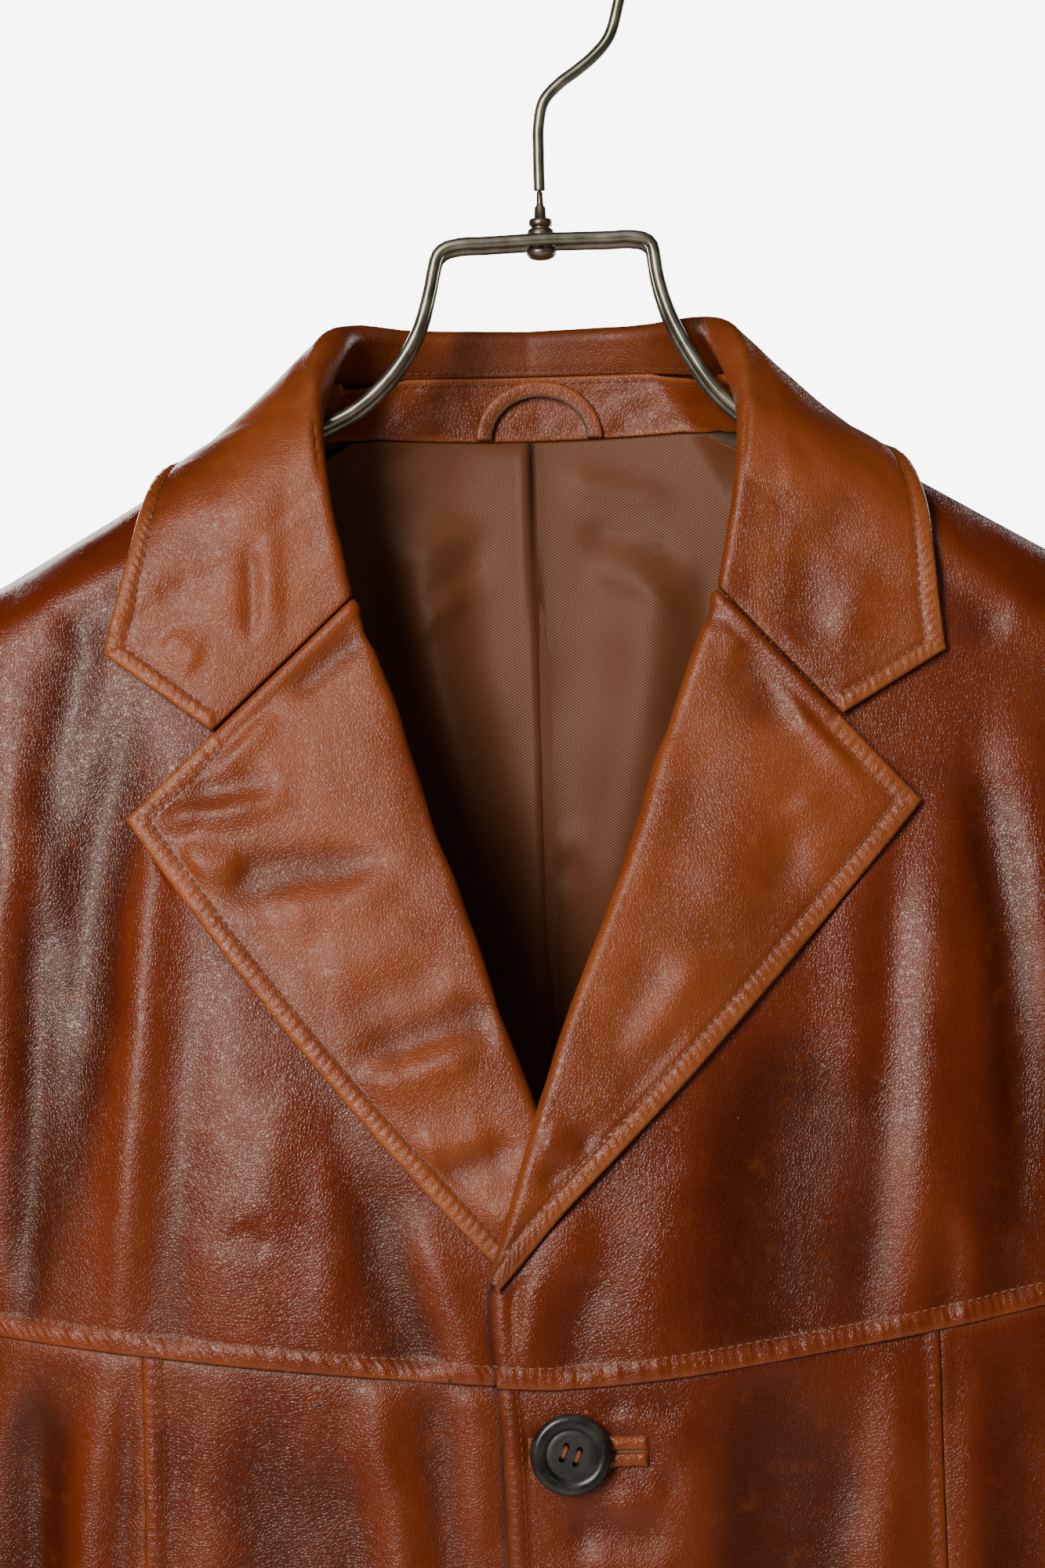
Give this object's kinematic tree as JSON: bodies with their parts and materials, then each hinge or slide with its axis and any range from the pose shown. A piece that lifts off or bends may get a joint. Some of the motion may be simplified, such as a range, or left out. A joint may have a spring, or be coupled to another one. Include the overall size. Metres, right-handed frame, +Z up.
{
  "type": "leather coat on a hanger",
  "caption": "Worn leather coat with a notched collar, lapels, chest yoke, set-in sleeves and buttoned front, hung on a double wire hanger with a round hook.",
  "frame": {"origin": "inner top of the hanger's hook, where a rail carries it", "axes": "+Z up, the coat's front faces -Y, the wearer's left side is at +X"},
  "size_m": [0.6204, 0.1425, 0.9509],
  "materials": {
    "leather": "semi-gloss reddish brown leather, worn",
    "collar_leather": "semi-gloss cognac brown leather, worn",
    "lining": "brown twill, soft sheen",
    "button": "dark grey, polished",
    "hanger_metal": "aged pewter coloured wire"
  },
  "bodies": {
    "root": {"front_yoke_left": "leather", "front_yoke_right": "leather", "front_panel_left": "leather", "front_panel_right": "leather", "side_panel_left": "leather", "side_panel_right": "leather", "sleeve_left": "leather", "sleeve_right": "leather", "back": "leather", "lapel_left": "collar_leather", "lapel_right": "collar_leather", "collar": "collar_leather", "back_neck_facing": "collar_leather", "hanger_loop": "collar_leather", "back_lining": "lining", "button_top": "button", "button_middle": "button", "button_bottom": "button", "hanger_hook": "hanger_metal", "hanger_frame": "hanger_metal", "hanger_swivel": "hanger_metal"}
  },
  "joints": []
}
